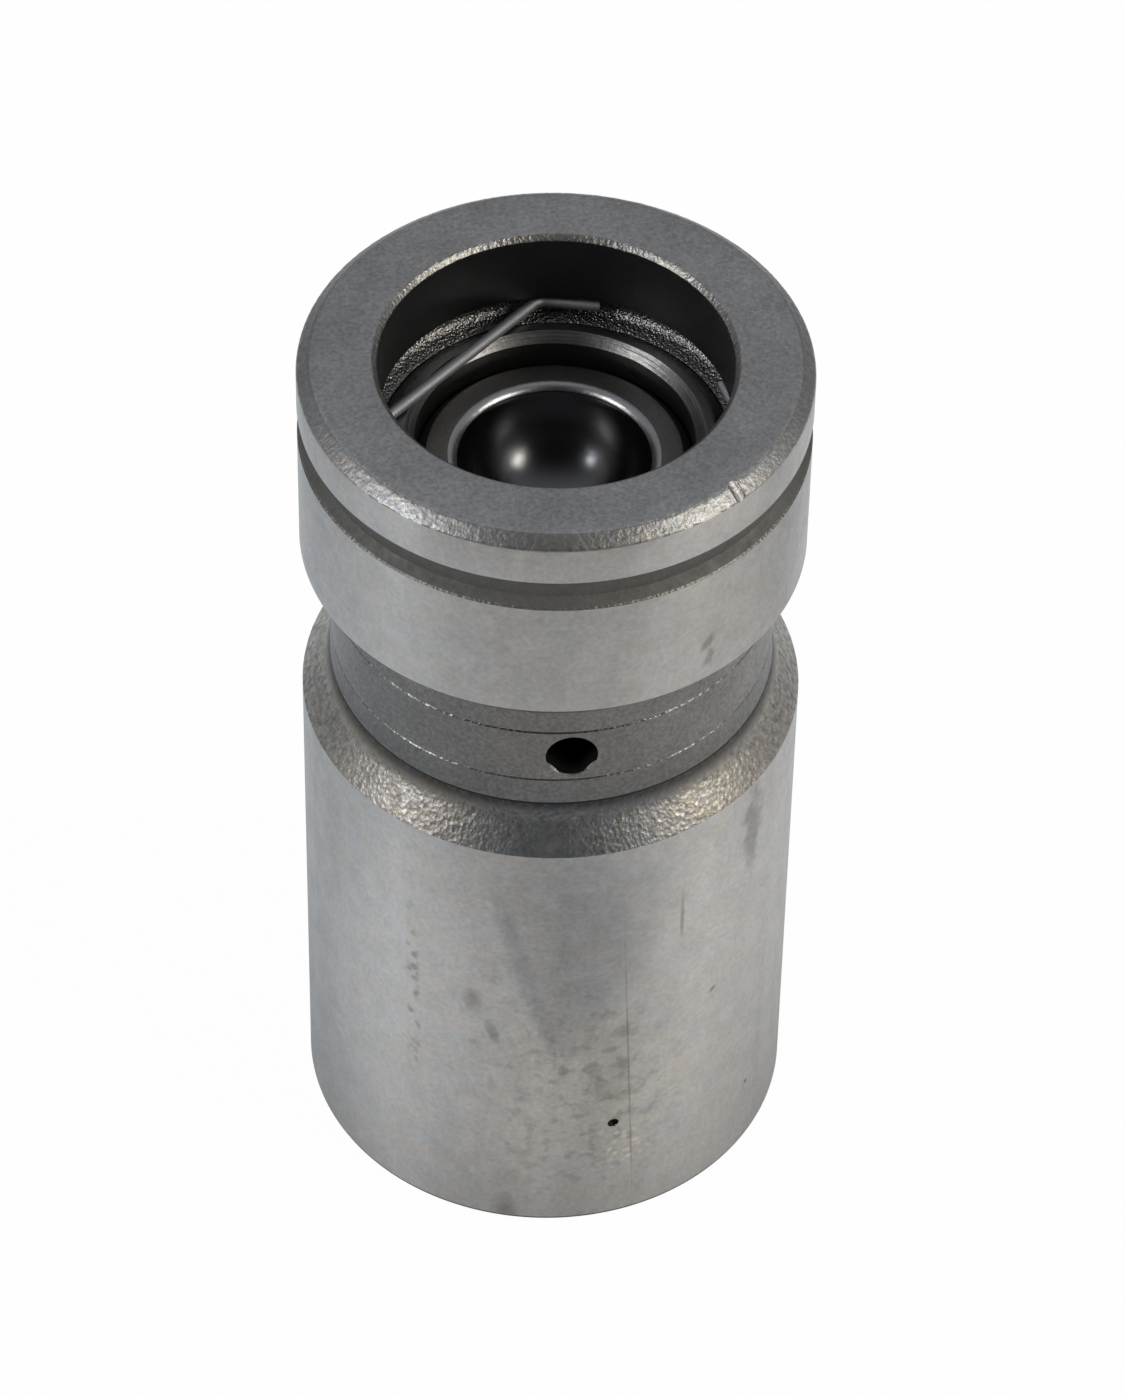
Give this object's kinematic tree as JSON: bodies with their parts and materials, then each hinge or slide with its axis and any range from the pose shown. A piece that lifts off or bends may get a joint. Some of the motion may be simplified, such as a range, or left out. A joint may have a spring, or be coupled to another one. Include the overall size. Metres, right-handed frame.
{
  "type": "hydraulic valve lifter",
  "caption": "Flat-foot hydraulic valve lifter: ground steel cylinder with a waisted neck and oil hole, holding a sprung plunger with pushrod socket, check ball and wire clip.",
  "frame": {"origin": "centre of the foot, on the cam face", "axes": "+Z along the bore axis, from the foot to the open end; the oil hole in the neck faces -Y"},
  "size_m": [0.0214, 0.0214, 0.043],
  "materials": {
    "body_steel": "ground satin lands, rough turned shoulder and chamfers",
    "clip_wire": "drawn wire",
    "plunger_steel": "turned and ground",
    "seat_steel": "dark, with a polished bowl",
    "disc_steel": "stamped",
    "ball_steel": "polished",
    "spring_steel": "drawn wire, oiled",
    "cage_steel": "pressed sheet"
  },
  "bodies": {
    "housing": {"lifter_body": "body_steel", "retaining_clip": "clip_wire", "plunger_spring": "spring_steel"},
    "plunger_group": {"plunger": "plunger_steel", "pushrod_seat": "seat_steel", "ball_retainer": "cage_steel", "check_ball_spring": "spring_steel"},
    "ball_valve": {"check_ball": "ball_steel"},
    "oil_disc": {"metering_disc": "disc_steel"}
  },
  "joints": [
    {"name": "plunger_travel", "type": "slide", "parent": "housing", "child": "plunger_group", "axis": [0, 0, -1], "range_m": [0, 0.0042], "stiffness_N_per_m": 2000, "springref_m": -0.01, "deforming": ["plunger_spring"]},
    {"name": "check_ball_lift", "type": "slide", "parent": "plunger_group", "child": "ball_valve", "axis": [0, 0, -1], "range_m": [0, 0.00045], "stiffness_N_per_m": 100, "springref_m": -0.001, "deforming": ["check_ball_spring"]},
    {"name": "metering_disc_lift", "type": "slide", "parent": "plunger_group", "child": "oil_disc", "axis": [0, 0, 1], "range_m": [0, 0.0003]}
  ]
}
